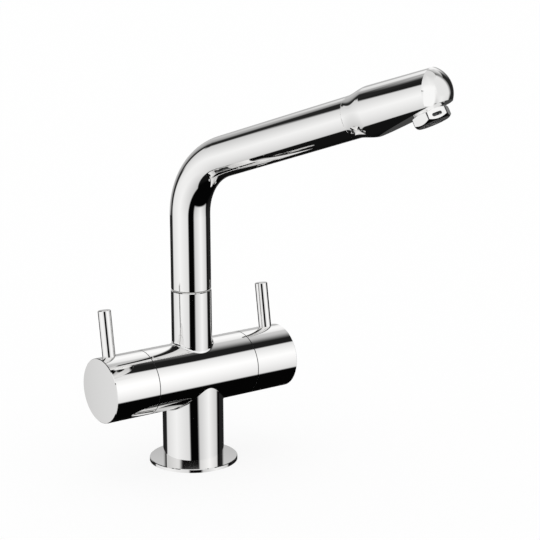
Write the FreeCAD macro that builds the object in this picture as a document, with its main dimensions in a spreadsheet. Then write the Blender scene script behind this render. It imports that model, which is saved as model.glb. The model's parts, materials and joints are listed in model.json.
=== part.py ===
import FreeCAD, Part
import math
import os
import re
import Sketcher

# Monobloc mixer tap: fixed body, swivel spout and two quarter-turn handles.
# Origin at the centre of the base on the worktop, Z up, X along the handle barrels,
# the spout reaching to -Y. Lengths in millimetres, angles in degrees.

doc = FreeCAD.newDocument("mixer_tap")
sheet = doc.addObject("Spreadsheet::Sheet", "Sizes")

SIZES = [
    # fits shared by all the pieces
    ("fit_gap", 0.05), ("run_gap", 0.06), ("ring_gap", 0.04), ("edge_break", 0.4), ("cut_over", 1.0),
    # base and body casting
    ("flange_dia", 62.4), ("flange_thick", 2.5), ("spigot_dia", 36.0),
    ("gasket_outer", 57.0), ("gasket_inner", 45.0), ("gasket_thick", 1.5), ("gasket_play", 0.1),
    ("column_dia", 43.2), ("barrel_dia", 45.2), ("barrel_height", 64.0), ("body_half", 40.85),
    ("stub_dia", 28.4), ("stub_top", 124.4), ("stub_fillet", 2.0), ("column_fillet", 1.5),
    # waterways, inlets and fixing stud
    ("block_dia", 33.0), ("block_height", 20.0), ("block_groove", 1.4), ("block_ring_dia", 12.0),
    ("inlet_offset", 9.0), ("inlet_dia", 9.0), ("inlet_depth", 14.0), ("riser_dia", 7.0),
    ("stud_offset", 11.0), ("stud_dia", 6.8), ("stud_depth", 16.0),
    ("passage_dia", 6.0), ("passage_start", 22.0), ("passage_low", 8.0), ("passage_lean", 52.0),
    ("passage_length", 22.8), ("well_dia", 18.0), ("well_floor", 80.0),
    # valve pocket, measured outwards from the middle of the tap
    ("seat_start", 6.0), ("seat_dia", 12.0), ("pocket_start", 16.0), ("chamber_dia", 24.0),
    ("thread_length", 7.85), ("thread_dia", 26.0),
    # spout socket
    ("socket_dia", 22.0), ("socket_floor", 96.0), ("spigot_lift", 1.0), ("spigot_bore", 16.0),
    ("groove_dia", 18.4), ("groove_width", 2.4), ("ring_low", 101.0), ("ring_high", 117.0),
    ("lock_height", 110.5), ("lock_dia", 5.0), ("lock_tip", 3.0), ("lock_slot", 4.4),
    ("lock_slot_dia", 19.2), ("lock_reach", 10.0), ("lock_step", 11.4), ("lock_end", 13.7), ("lock_recess", 1.2),
    ("washer_thick", 0.6), ("washer_inner", 22.6), ("washer_outer", 26.2),
    # spout tube
    ("tube_dia", 28.0), ("tube_wall", 1.5), ("corner_height", 211.0), ("spout_rise", 18.5),
    ("spout_swing", 15.5), ("bend_radius", 46.0), ("seam_reach", 146.3), ("spigot_plug", 15.0),
    ("tube_chamfer", 0.5),
    # spout head
    ("head_dia", 33.2), ("flare_length", 12.5), ("seam_break", 0.3),
    ("head_end_dia", 30.6), ("tip_length", 74.3), ("dome_radius", 17.2), ("dome_lift", 1.1),
    ("flat_drop", 9.4), ("flat_slope", 10.0), ("aerator_inset", 18.1),
    ("sleeve_depth", 16.0), ("head_bore", 14.0), ("bore_past", 1.8),
    ("sleeve_back", 14.0), ("sleeve_bore", 20.0), ("sleeve_ring", 6.0), ("sleeve_groove", 22.6),
    # aerator
    ("neck_dia", 18.0), ("neck_length", 6.0), ("seal_thick", 1.5), ("seal_bore", 12.0),
    ("hex_flats", 22.0), ("hex_turn", 36.0), ("collar_dia", 20.6), ("collar_height", 0.9), ("collar_gap", 0.5),
    ("hex_height", 7.0), ("hex_chamfer", 2.0), ("outlet_dia", 20.6), ("aerator_bore", 15.0),
    ("outlet_bore", 13.6), ("outlet_lip", 0.8), ("screen_thick", 0.8), ("screen_depth", 0.6),
    ("jet_dia", 2.4), ("jet_ring", 4.6),
    # quarter-turn valves, measured outwards from the middle of the tap
    ("seal_outer", 15.9), ("seat_seal_bore", 11.0), ("seat_seal_thick", 2.0), ("disc_thick", 3.5),
    ("port_offset", 4.2), ("port_dia", 4.6), ("bonnet_lift", 1.0), ("bonnet_outer", 20.0),
    ("bonnet_bore", 16.0), ("bonnet_roof", 2.0), ("window_lift", 8.0), ("window_high", 5.0),
    ("window_wide", 8.0), ("nut_flats", 27.0), ("nut_thick", 3.65), ("bonnet_neck", 15.0),
    ("neck_rise", 7.5), ("bonnet_washer", 1.0),
    ("stem_dia", 8.0), ("foot_dia", 15.2), ("foot_thick", 3.5), ("foot_bar", 3.4),
    ("stem_groove", 5.0), ("stem_groove_drop", 5.0), ("stem_groove_wide", 1.9),
    ("clip_groove", 6.4), ("clip_outer", 12.4), ("clip_thick", 0.9),
    # handles
    ("seam_gap", 0.6), ("glide_inner", 33.0), ("glide_outer", 44.0), ("glide_thick", 0.5),
    ("handle_bore", 39.0), ("handle_clear", 4.5), ("hub_dia", 12.1), ("bush_clear", 1.0),
    ("bush_length", 10.5), ("hub_clear", 0.5), ("handle_cap", 6.0), ("lever_inset", 9.6),
    ("lever_tilt", 8.5), ("lever_dia", 9.0), ("lever_length", 54.4), ("lever_seat", 19.4), ("lever_thread", 6.0),
    ("lever_root", 10.0), ("screw_inset", 13.5), ("screw_dia", 4.0), ("screw_end", 15.0),
]
for row, (alias, value) in enumerate(SIZES, 1):
    sheet.set("A%d" % row, alias.replace("_", " "))
    sheet.set("B%d" % row, str(value))
    sheet.setAlias("B%d" % row, alias)
doc.recompute()


def full(text):
    """A size formula as the other objects must write it."""
    return re.sub(r"[a-z]+(?:_[a-z]+)+", lambda m: "Sizes." + m.group(0), text)


def num(text):
    """The present value of a size formula."""
    return float(sheet.evalExpression(text))


def make_body(name, placement=None):
    """An empty body carrying its node name, placed by a formula."""
    body = doc.addObject("PartDesign::Body", name)
    body.Label = name
    if placement:
        body.setExpression("Placement", full(placement))
    return body


def sketch_on(body, name, role, offset=None):
    """A sketch on one of the body's own planes, moved by a placement formula."""
    plane = [f for f in body.Origin.OriginFeatures if f.Role == role][0]
    sketch = body.newObject("Sketcher::SketchObject", name)
    sketch.AttachmentSupport = [(plane, "")]
    sketch.MapMode = "FlatFace"
    if offset:
        sketch.setExpression("AttachmentOffset", full(offset))
    return sketch


def dimension(sketch, kind, ends, text):
    """One driving dimension tied to a size formula."""
    index = sketch.addConstraint(Sketcher.Constraint(kind, *ends, num(text)))
    sketch.setExpression("Constraints[%d]" % index, full(text))


def pin(sketch, item, end, x, y):
    """Hold a point at two coordinates given as formulas; 0 holds it on the axis."""
    for kind, axis, text in (("DistanceX", -2, x), ("DistanceY", -1, y)):
        if text == "0":
            sketch.addConstraint(Sketcher.Constraint("PointOnObject", item, end, axis))
        else:
            dimension(sketch, kind, (-1, 1, item, end), text)


def outline(sketch, points):
    """A closed outline of straight lines through points given as formulas."""
    first = sketch.GeometryCount
    spots = [FreeCAD.Vector(num(x), num(y), 0) for x, y in points]
    count = len(points)
    for i in range(count):
        sketch.addGeometry(Part.LineSegment(spots[i], spots[(i + 1) % count]), False)
    for i in range(count):
        after = first + (i + 1) % count
        sketch.addConstraint(Sketcher.Constraint("Coincident", first + i, 2, after, 1))
    for i, (x, y) in enumerate(points):
        pin(sketch, first + i, 1, x, y)


def circle(sketch, x, y, diameter):
    """A circle whose centre and diameter are formulas."""
    middle = FreeCAD.Vector(num(x), num(y), 0)
    shape = Part.Circle(middle, FreeCAD.Vector(0, 0, 1), num(diameter) / 2)
    item = sketch.addGeometry(shape, False)
    if x == "0" and y == "0":
        sketch.addConstraint(Sketcher.Constraint("Coincident", item, 3, -1, 1))
    else:
        pin(sketch, item, 3, x, y)
    dimension(sketch, "Diameter", (item,), diameter)


def feature(body, kind, name, sketch, length=None, reverse=False, both=False, axis=None):
    """A pad, pocket, revolution or groove from a sketch."""
    item = body.newObject("PartDesign::" + kind, name)
    item.Profile = sketch
    if axis:
        item.ReferenceAxis = (sketch, [axis])
        item.Angle = 360
    if length:
        item.setExpression("Length", full(length))
    if both:
        item.SideType = "Symmetric"
    item.Reversed = reverse
    sketch.Visibility = False
    doc.recompute()
    return item


def turned(name, points, placement=None):
    """A body turned about its own Z axis from (radius, height) points."""
    body = make_body(name, placement)
    sketch = sketch_on(body, name + "_profile", "XZ_Plane")
    outline(sketch, points)
    feature(body, "Revolution", name + "_turned", sketch, axis="V_Axis")
    return body


def ring(name, inner, outer, low, high, placement=None):
    """A plain flat ring or, with inner 0, a disc."""
    return turned(name, [(inner, low), (outer, low), (outer, high), (inner, high)], placement)


def o_ring(name, inner, outer, height, placement=None):
    """A round-section seal that fills the gap between two diameters."""
    body = make_body(name, placement)
    sketch = sketch_on(body, name + "_profile", "XZ_Plane")
    middle = "((%s) + (%s)) / 4" % (inner, outer)
    circle(sketch, middle, height, "((%s) - (%s)) / 2" % (outer, inner))
    feature(body, "Revolution", name + "_turned", sketch, axis="V_Axis")
    return body


def hexagon(sketch, flats, turn):
    """A regular hexagon given its width across flats and its turn."""
    points = []
    for step in range(6):
        angle = "(%s + %d) * 1 deg" % (turn, 60 * step)
        radius = "%s / 2 / cos(30 deg)" % flats
        points.append(("%s * cos(%s)" % (radius, angle), "%s * sin(%s)" % (radius, angle)))
    outline(sketch, points)


def along_spout(reach, drop, turn):
    """Placement at a reach along the rising spout and a drop square to it."""
    out = "((%s) * cos(spout_rise * 1 deg) + (%s) * sin(spout_rise * 1 deg))" % (reach, drop)
    up = "corner_height + (%s) * sin(spout_rise * 1 deg) - (%s) * cos(spout_rise * 1 deg)" % (reach, drop)
    swing = "spout_swing * 1 deg"
    spot = "vector(sin(%s) * %s; -cos(%s) * %s; %s)" % (swing, out, swing, out, up)
    return "placement(%s; rotationz(%s) * rotationx(%s))" % (spot, swing, turn)


# Stations along the valves and the head, and fits, that follow from the sizes above
THREAD_LOW = "(body_half - thread_length)"
NUT_LOW = "(body_half + bonnet_washer)"
NUT_TOP = "(body_half + bonnet_washer + nut_thick)"
NECK_TOP = "(body_half + bonnet_washer + nut_thick + neck_rise)"
HANDLE_FLOOR = "(%s + handle_clear)" % NECK_TOP
BUSH_LOW = "(%s + bush_clear)" % HANDLE_FLOOR
STEM_END = "(%s + bush_length)" % BUSH_LOW
HUB_END = "(%s + hub_clear)" % STEM_END
HANDLE_END = "(%s + handle_cap)" % HUB_END
AERATOR_AT = "(tip_length - aerator_inset)"
PLUG = "tube_dia / 2 - tube_wall - fit_gap"
SWUNG = "placement(vector(0; 0; 0); rotationz(spout_swing * 1 deg))"

# Body casting: column, cross barrel and spout stub in one piece
body = make_body("mixer_body")
shaft = sketch_on(body, "shaft_profile", "XZ_Plane")
outline(shaft, [
    ("0", "0"), ("spigot_dia / 2", "0"), ("spigot_dia / 2", "flange_thick"),
    ("column_dia / 2", "flange_thick"), ("column_dia / 2", "barrel_height"),
    ("stub_dia / 2", "barrel_height"), ("stub_dia / 2", "stub_top - tube_chamfer"),
    ("stub_dia / 2 - tube_chamfer", "stub_top"), ("0", "stub_top")])
feature(body, "Revolution", "shaft", shaft, axis="V_Axis")
cross = sketch_on(body, "cross_profile", "YZ_Plane")
circle(cross, "0", "barrel_height", "barrel_dia")
cross_pad = feature(body, "Pad", "cross_barrel", cross, length="body_half * 2", both=True)

# Cast radii where the stub and the column leave the barrel
before = cross_pad
for label, low_z, high_z in (
        ("stub", "barrel_height + barrel_dia / 4", "barrel_height + barrel_dia / 2 + cut_over"),
        ("column", "barrel_height - barrel_dia / 2 - cut_over", "barrel_height - cut_over")):
    edges = []
    for index, edge in enumerate(before.Shape.Edges, 1):
        box = edge.BoundBox
        if box.ZMin > num(low_z) and box.ZMax < num(high_z):
            edges.append("Edge%d" % index)
    fillet = body.newObject("PartDesign::Fillet", label + "_root")
    fillet.Base = (before, edges)
    fillet.setExpression("Radius", full(label + "_fillet"))
    doc.recompute()
    before = fillet

# Spout socket and mixing well, bored down from the top of the stub
bore = sketch_on(body, "socket_profile", "XZ_Plane")
outline(bore, [
    ("0", "well_floor"), ("well_dia / 2", "well_floor"), ("well_dia / 2", "socket_floor"),
    ("socket_dia / 2", "socket_floor"), ("socket_dia / 2", "stub_top + cut_over"), ("0", "stub_top + cut_over")])
feature(body, "Groove", "socket", bore, axis="V_Axis")

# Valve pocket with its inlet seat, and the same on the other side
pocket = sketch_on(
    body, "pocket_profile", "XZ_Plane", "placement(vector(0; barrel_height; 0); rotationz(0 deg))")
outline(pocket, [
    ("seat_start", "0"), ("seat_start", "seat_dia / 2"), ("pocket_start", "seat_dia / 2"),
    ("pocket_start", "chamber_dia / 2"), (THREAD_LOW, "chamber_dia / 2"),
    (THREAD_LOW, "thread_dia / 2"), ("body_half + cut_over", "thread_dia / 2"), ("body_half + cut_over", "0")])
pocket_cut = feature(body, "Groove", "valve_pocket", pocket, axis="H_Axis")

# Slanting waterway from the valve chamber up to the mixing well
slant = sketch_on(
    body, "passage_profile", "XY_Plane",
    "placement(vector(passage_start; 0; barrel_height + passage_low); rotationy(-passage_lean * 1 deg))")
circle(slant, "0", "0", "passage_dia")
slant_cut = feature(body, "Pocket", "passage", slant, length="passage_length", reverse=True)
mirror = body.newObject("PartDesign::Mirrored", "other_side")
mirror.Originals = [pocket_cut, slant_cut]
side_plane = [f for f in body.Origin.OriginFeatures if f.Role == "YZ_Plane"][0]
mirror.MirrorPlane = (side_plane, [""])
body.Tip = mirror
doc.recompute()

# Recess for the inlet block, and the two risers that lead up from it to the valve seats
recess = sketch_on(body, "recess_profile", "XZ_Plane")
outline(recess, [
    ("0", "0"), ("block_dia / 2 + fit_gap", "0"),
    ("block_dia / 2 + fit_gap", "block_height"), ("0", "block_height")])
feature(body, "Groove", "recess", recess, axis="V_Axis")
risers = sketch_on(body, "risers_profile", "XY_Plane")
circle(risers, "inlet_offset", "0", "riser_dia")
circle(risers, "-inlet_offset", "0", "riser_dia")
feature(body, "Pocket", "risers", risers, length="barrel_height", reverse=True)

# Cross hole in the back of the stub for the screw that holds the spout
lock = sketch_on(body, "lock_profile", "XZ_Plane")
circle(lock, "0", "lock_height", "lock_dia")
feature(body, "Pocket", "lock_hole", lock, length="stub_dia")

# Inlet block in the foot of the column: two hose threads, the fixing stud's thread,
# and a seal round each waterway where it meets the casting
block = ring("inlet_block", "0", "block_dia / 2", "0", "block_height")
for label, spots, width, depth in (
        ("inlets", (("inlet_offset", "0"), ("-inlet_offset", "0")), "inlet_dia", "inlet_depth"),
        ("ways", (("inlet_offset", "0"), ("-inlet_offset", "0")), "riser_dia", "block_height"),
        ("stud_hole", (("0", "stud_offset"),), "stud_dia", "stud_depth")):
    holes = sketch_on(block, label + "_profile", "XY_Plane")
    for x, y in spots:
        circle(holes, x, y, width)
    feature(block, "Pocket", label, holes, length=depth, reverse=True)
seats = sketch_on(
    block, "ring_seats_profile", "XY_Plane", "placement(vector(0; 0; block_height); rotationz(0 deg))")
for x in ("inlet_offset", "-inlet_offset"):
    circle(seats, x, "0", "block_ring_dia")
feature(block, "Pocket", "ring_seats", seats, length="block_groove")
for side, sign in (("hot", -1), ("cold", 1)):
    ring(side + "_inlet_seal", "riser_dia / 2 + ring_gap", "block_ring_dia / 2 - fit_gap",
         "block_height - block_groove", "block_height",
         "placement(vector(%d * inlet_offset; 0; 0); rotationz(0 deg))" % sign)

# Flange that covers the hole in the worktop, and the gasket in its underside
turned("base_flange", [
    ("spigot_dia / 2 + fit_gap", "0"), ("gasket_inner / 2", "0"), ("gasket_inner / 2", "gasket_thick"),
    ("gasket_outer / 2", "gasket_thick"), ("gasket_outer / 2", "0"), ("flange_dia / 2", "0"),
    ("flange_dia / 2", "flange_thick - edge_break"), ("flange_dia / 2 - edge_break", "flange_thick"),
    ("spigot_dia / 2 + fit_gap", "flange_thick")])
ring("base_gasket", "gasket_inner / 2 + gasket_play", "gasket_outer / 2 - gasket_play", "0", "gasket_thick")

# Screw in the back of the stub that keeps the spout from lifting out
turned("spout_lock_screw", [
    ("0", "lock_reach"), ("lock_tip / 2", "lock_reach"), ("lock_tip / 2", "lock_step"),
    ("lock_dia / 2 - fit_gap", "lock_step"), ("lock_dia / 2 - fit_gap", "lock_end"),
    ("lock_tip / 2", "lock_end"), ("0", "lock_end - lock_recess")],
    "placement(vector(0; 0; lock_height); rotationx(-90 deg))")
ring("spout_thrust_washer", "washer_inner / 2", "washer_outer / 2", "stub_top", "stub_top + washer_thick")

# Swivel spigot with two seal grooves and the slot the lock screw runs in
SPIGOT = "socket_dia / 2 - run_gap"
spigot_points = [("spigot_bore / 2", "socket_floor + spigot_lift"), (SPIGOT, "socket_floor + spigot_lift")]
for depth, height, width in (
        ("groove_dia / 2", "ring_low", "groove_width"), ("lock_slot_dia / 2", "lock_height", "lock_slot"),
        ("groove_dia / 2", "ring_high", "groove_width")):
    under = "%s - %s / 2" % (height, width)
    over = "%s + %s / 2" % (height, width)
    spigot_points += [(SPIGOT, under), (depth, under), (depth, over), (SPIGOT, over)]
turned("spout_spigot", spigot_points + [
    (SPIGOT, "stub_top + washer_thick"), (PLUG, "stub_top + washer_thick"),
    (PLUG, "stub_top + washer_thick + spigot_plug"),
    ("spigot_bore / 2", "stub_top + washer_thick + spigot_plug")], SWUNG)
for label, height in (("lower", "ring_low"), ("upper", "ring_high")):
    o_ring("spout_o_ring_" + label, "groove_dia + ring_gap", "socket_dia - ring_gap * 2", height, SWUNG)

# Bent spout tube, swept along its centre line
tube = make_body("spout_tube", SWUNG)
wall = sketch_on(
    tube, "tube_profile", "XY_Plane", "placement(vector(0; 0; stub_top + washer_thick); rotationz(0 deg))")
circle(wall, "0", "0", "tube_dia")
circle(wall, "0", "0", "tube_dia - tube_wall * 2")
line = sketch_on(tube, "tube_path", "YZ_Plane")
TANGENT = "bend_radius * tan((90 - spout_rise) / 2 * 1 deg)"
RISE = "spout_rise * 1 deg"
low = FreeCAD.Vector(0, num("stub_top + washer_thick"), 0)
bend_in = FreeCAD.Vector(0, num("corner_height - " + TANGENT), 0)
bend_out = FreeCAD.Vector(
    -num("cos(%s) * %s" % (RISE, TANGENT)), num("corner_height + sin(%s) * %s" % (RISE, TANGENT)), 0)
seam = FreeCAD.Vector(
    -num("cos(%s) * seam_reach" % RISE), num("corner_height + sin(%s) * seam_reach" % RISE), 0)
hub = FreeCAD.Vector(-num("bend_radius"), bend_in.y, 0)
line.addGeometry(Part.LineSegment(low, bend_in), False)
middle_way = hub + (bend_in + bend_out - hub * 2).normalize() * num("bend_radius")
line.addGeometry(Part.Arc(bend_in, middle_way, bend_out), False)
line.addGeometry(Part.LineSegment(bend_out, seam), False)
pin(line, 0, 1, "0", "stub_top + washer_thick")
line.addConstraint(Sketcher.Constraint("PointOnObject", 0, 2, -2))
line.addConstraint(Sketcher.Constraint("Tangent", 0, 2, 1, 1))
line.addConstraint(Sketcher.Constraint("Tangent", 1, 2, 2, 1))
dimension(line, "Radius", (1,), "bend_radius")
dimension(line, "DistanceY", (-1, 1, 2, 1), "corner_height + sin(%s) * %s" % (RISE, TANGENT))
pin(line, 2, 2, "-cos(%s) * seam_reach" % RISE, "corner_height + sin(%s) * seam_reach" % RISE)
doc.recompute()
sweep = tube.newObject("PartDesign::AdditivePipe", "tube_sweep")
sweep.Profile = wall
sweep.Spine = (line, ["Edge1", "Edge2", "Edge3"])
doc.recompute()
rim = tube.newObject("PartDesign::Chamfer", "tube_rim")
rim_edges = []
for index, edge in enumerate(sweep.Shape.Edges, 1):
    flat = edge.BoundBox.ZLength < 0.001 and abs(edge.BoundBox.ZMin - low.y) < 0.001
    if flat and edge.BoundBox.XLength > num("tube_dia - tube_wall"):
        rim_edges.append("Edge%d" % index)
rim.Base = (sweep, rim_edges)
rim.setExpression("Size", full("tube_chamfer"))
doc.recompute()

# Sleeve that joins the tube to the head, with its seal
turned("nozzle_sleeve", [
    ("sleeve_bore / 2", "0"), (PLUG, "0"), (PLUG, "sleeve_ring - groove_width / 2"),
    ("sleeve_groove / 2", "sleeve_ring - groove_width / 2"),
    ("sleeve_groove / 2", "sleeve_ring + groove_width / 2"), (PLUG, "sleeve_ring + groove_width / 2"),
    (PLUG, "sleeve_back + sleeve_depth"), ("sleeve_bore / 2", "sleeve_back + sleeve_depth")],
    along_spout("seam_reach - sleeve_back", "0", "90 deg - spout_rise * 1 deg"))
o_ring("nozzle_o_ring", "sleeve_groove + ring_gap", "tube_dia - tube_wall * 2 - ring_gap", "sleeve_ring",
       along_spout("seam_reach - sleeve_back", "0", "90 deg - spout_rise * 1 deg"))

# Spout head: fine seam, swelling in two even curves to a thicker barrel that tapers to the tip
head = make_body("nozzle_head", along_spout("seam_reach", "0", "90 deg - spout_rise * 1 deg"))
skin = sketch_on(head, "head_profile", "XZ_Plane")
small = num("tube_dia / 2")
large = num("head_dia / 2")
lip = num("seam_break")
flare = num("flare_length")
swell = ((flare - lip) ** 2 + (large - small) ** 2) / (4 * (large - small))
lean = math.asin((flare - lip) / 2 / swell)
across = FreeCAD.Vector(0, 0, 1)
hollow_curve = Part.Circle(FreeCAD.Vector(small + swell, lip, 0), across, swell)
full_curve = Part.Circle(FreeCAD.Vector(large - swell, flare, 0), across, swell)
spots = [
    FreeCAD.Vector(0, 0, 0), FreeCAD.Vector(small - lip, 0, 0), FreeCAD.Vector(small, lip, 0),
    FreeCAD.Vector(large, flare, 0), FreeCAD.Vector(num("head_end_dia / 2"), num("tip_length"), 0),
    FreeCAD.Vector(0, num("tip_length"), 0)]
skin.addGeometry(Part.LineSegment(spots[0], spots[1]), False)
skin.addGeometry(Part.LineSegment(spots[1], spots[2]), False)
skin.addGeometry(Part.ArcOfCircle(hollow_curve, math.pi - lean, math.pi), False)
skin.addGeometry(Part.ArcOfCircle(full_curve, -lean, 0), False)
skin.addGeometry(Part.LineSegment(spots[3], spots[4]), False)
skin.addGeometry(Part.LineSegment(spots[4], spots[5]), False)
skin.addGeometry(Part.LineSegment(spots[5], spots[0]), False)
skin.addConstraint(Sketcher.Constraint("Coincident", 0, 1, -1, 1))
skin.addConstraint(Sketcher.Constraint("PointOnObject", 0, 2, -1))
skin.addConstraint(Sketcher.Constraint("Coincident", 0, 2, 1, 1))
skin.addConstraint(Sketcher.Constraint("Coincident", 1, 2, 2, 2))
skin.addConstraint(Sketcher.Constraint("Horizontal", 2, 3, 2, 2))
skin.addConstraint(Sketcher.Constraint("Tangent", 2, 1, 3, 1))
skin.addConstraint(Sketcher.Constraint("Equal", 2, 3))
skin.addConstraint(Sketcher.Constraint("Tangent", 3, 2, 4, 1))
skin.addConstraint(Sketcher.Constraint("Coincident", 4, 2, 5, 1))
skin.addConstraint(Sketcher.Constraint("Horizontal", 5))
skin.addConstraint(Sketcher.Constraint("PointOnObject", 5, 2, -2))
skin.addConstraint(Sketcher.Constraint("Coincident", 5, 2, 6, 1))
skin.addConstraint(Sketcher.Constraint("Coincident", 6, 2, -1, 1))
dimension(skin, "DistanceX", (-1, 1, 0, 2), "tube_dia / 2 - seam_break")
pin(skin, 1, 2, "tube_dia / 2", "seam_break")
pin(skin, 4, 1, "head_dia / 2", "flare_length")
pin(skin, 4, 2, "head_end_dia / 2", "tip_length")
feature(head, "Revolution", "head_turned", skin, axis="V_Axis")

# Rounded end: all outside a ball centred a little above the axis is cut away
nose = sketch_on(head, "dome_profile", "XZ_Plane", "placement(vector(0; 0; -dome_lift); rotationz(0 deg))")
ball = num("dome_radius")
middle = num("tip_length - dome_radius")
reach = num("dome_radius + cut_over")
ball_circle = Part.Circle(FreeCAD.Vector(0, middle, 0), FreeCAD.Vector(0, 0, 1), ball)
spots = [
    FreeCAD.Vector(0, middle + ball, 0), FreeCAD.Vector(0, middle + reach, 0),
    FreeCAD.Vector(reach, middle + reach, 0), FreeCAD.Vector(reach, middle, 0), FreeCAD.Vector(ball, middle, 0)]
nose.addGeometry(Part.ArcOfCircle(ball_circle, 0, math.pi / 2), False)
for start, end in zip(spots, spots[1:]):
    nose.addGeometry(Part.LineSegment(start, end), False)
nose.addConstraint(Sketcher.Constraint("PointOnObject", 0, 3, -2))
nose.addConstraint(Sketcher.Constraint("PointOnObject", 0, 2, -2))
nose.addConstraint(Sketcher.Constraint("Horizontal", 0, 1, 0, 3))
nose.addConstraint(Sketcher.Constraint("Coincident", 0, 2, 1, 1))
nose.addConstraint(Sketcher.Constraint("PointOnObject", 1, 2, -2))
nose.addConstraint(Sketcher.Constraint("Coincident", 1, 2, 2, 1))
nose.addConstraint(Sketcher.Constraint("Horizontal", 2))
nose.addConstraint(Sketcher.Constraint("Coincident", 2, 2, 3, 1))
nose.addConstraint(Sketcher.Constraint("Vertical", 3))
nose.addConstraint(Sketcher.Constraint("Coincident", 3, 2, 4, 1))
nose.addConstraint(Sketcher.Constraint("Horizontal", 4))
nose.addConstraint(Sketcher.Constraint("Coincident", 4, 2, 0, 1))
dimension(nose, "Radius", (0,), "dome_radius")
dimension(nose, "DistanceY", (-1, 1, 0, 3), "tip_length - dome_radius")
dimension(nose, "DistanceY", (-1, 1, 1, 2), "tip_length + cut_over")
dimension(nose, "DistanceX", (-1, 1, 3, 1), "dome_radius + cut_over")
feature(head, "Groove", "dome", nose, axis="V_Axis")

# Flat on the underside, deeper towards the tip, that the aerator stands square to
level = sketch_on(head, "flat_profile", "YZ_Plane")
FLAT = "-flat_drop + (%s - " + AERATOR_AT + ") * tan(flat_slope * 1 deg)"
outline(level, [
    (FLAT % "flare_length / 2", "flare_length / 2"), (FLAT % "(tip_length + cut_over)", "tip_length + cut_over"),
    ("-head_dia", "tip_length + cut_over"), ("-head_dia", "flare_length / 2")])
feature(head, "Pocket", "flat", level, length="head_dia * 2", both=True)
hollow = sketch_on(head, "hollow_profile", "XZ_Plane")
outline(hollow, [
    ("0", "0"), ("tube_dia / 2 - tube_wall", "0"), ("tube_dia / 2 - tube_wall", "sleeve_depth"),
    ("head_bore / 2", "sleeve_depth"), ("head_bore / 2", AERATOR_AT + " + bore_past"),
    ("0", AERATOR_AT + " + bore_past")])
feature(head, "Groove", "hollow", hollow, axis="V_Axis")
seat = sketch_on(head, "aerator_seat_profile", "XY_Plane",
                 "placement(vector(0; -flat_drop; %s); rotationx(-90 deg - flat_slope * 1 deg))" % AERATOR_AT)
circle(seat, "0", "0", "neck_dia + fit_gap * 2")
feature(head, "Pocket", "aerator_seat", seat, length="neck_length + seal_thick", reverse=True)


def at_aerator(lift):
    """Placement on the aerator axis, a lift above the flat, with Z pointing out of the outlet."""
    slope = "flat_slope * 1 deg"
    reach = "seam_reach + %s - (%s) * sin(%s)" % (AERATOR_AT, lift, slope)
    drop = "flat_drop - (%s) * cos(%s)" % (lift, slope)
    return along_spout(reach, drop, "180 deg - (spout_rise + flat_slope) * 1 deg")


# Aerator: hexagonal housing screwed into the head, with its screen, insert and seal
HEX_CORNER = "hex_flats / 2 / cos(30 deg)"
COLLAR_END = "neck_length + collar_height"
HEX_LOW = "neck_length + collar_height + collar_gap"
HEX_END = "neck_length + collar_height + collar_gap + hex_height"
housing = turned("aerator_housing", [
    ("aerator_bore / 2", "0"), ("neck_dia / 2", "0"), ("neck_dia / 2", "neck_length"),
    ("collar_dia / 2", "neck_length"), ("collar_dia / 2", COLLAR_END), ("neck_dia / 2", COLLAR_END),
    ("neck_dia / 2", HEX_LOW), ("hex_flats / 2", HEX_LOW),
    (HEX_CORNER, HEX_LOW + " + edge_break * 2"), (HEX_CORNER, HEX_END + " - hex_chamfer"),
    ("outlet_dia / 2", HEX_END), ("outlet_bore / 2", HEX_END), ("outlet_bore / 2", HEX_END + " - outlet_lip"),
    ("aerator_bore / 2", HEX_END + " - outlet_lip")], at_aerator("neck_length"))
flats = sketch_on(
    housing, "aerator_flats", "XY_Plane", "placement(vector(0; 0; %s); rotationz(0 deg))" % HEX_LOW)
circle(flats, "0", "0", "hex_flats * 2")
hexagon(flats, "hex_flats", "hex_turn")
feature(housing, "Pocket", "aerator_hexagon", flats, length="hex_height", reverse=True)
ring("aerator_seal", "seal_bore / 2", "neck_dia / 2 - fit_gap", "0", "seal_thick",
     at_aerator("neck_length + seal_thick"))
ring("aerator_screen", "0", "aerator_bore / 2 - fit_gap", "screen_depth", "screen_depth + screen_thick",
     at_aerator("neck_length"))
insert = ring("aerator_insert", "0", "aerator_bore / 2 - fit_gap", "screen_depth + screen_thick",
              HEX_END + " - outlet_lip", at_aerator("neck_length"))
jet = sketch_on(insert, "jet_profile", "XY_Plane")
circle(jet, "jet_ring", "0", "jet_dia")
jet_cut = feature(insert, "Pocket", "jet", jet, length=HEX_END, reverse=True)
jets = insert.newObject("PartDesign::PolarPattern", "jets")
jets.Originals = [jet_cut]
jets.Axis = (jet, ["N_Axis"])
jets.Angle = 360
insert.Tip = jets
jets.Occurrences = 6
doc.recompute()


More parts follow.
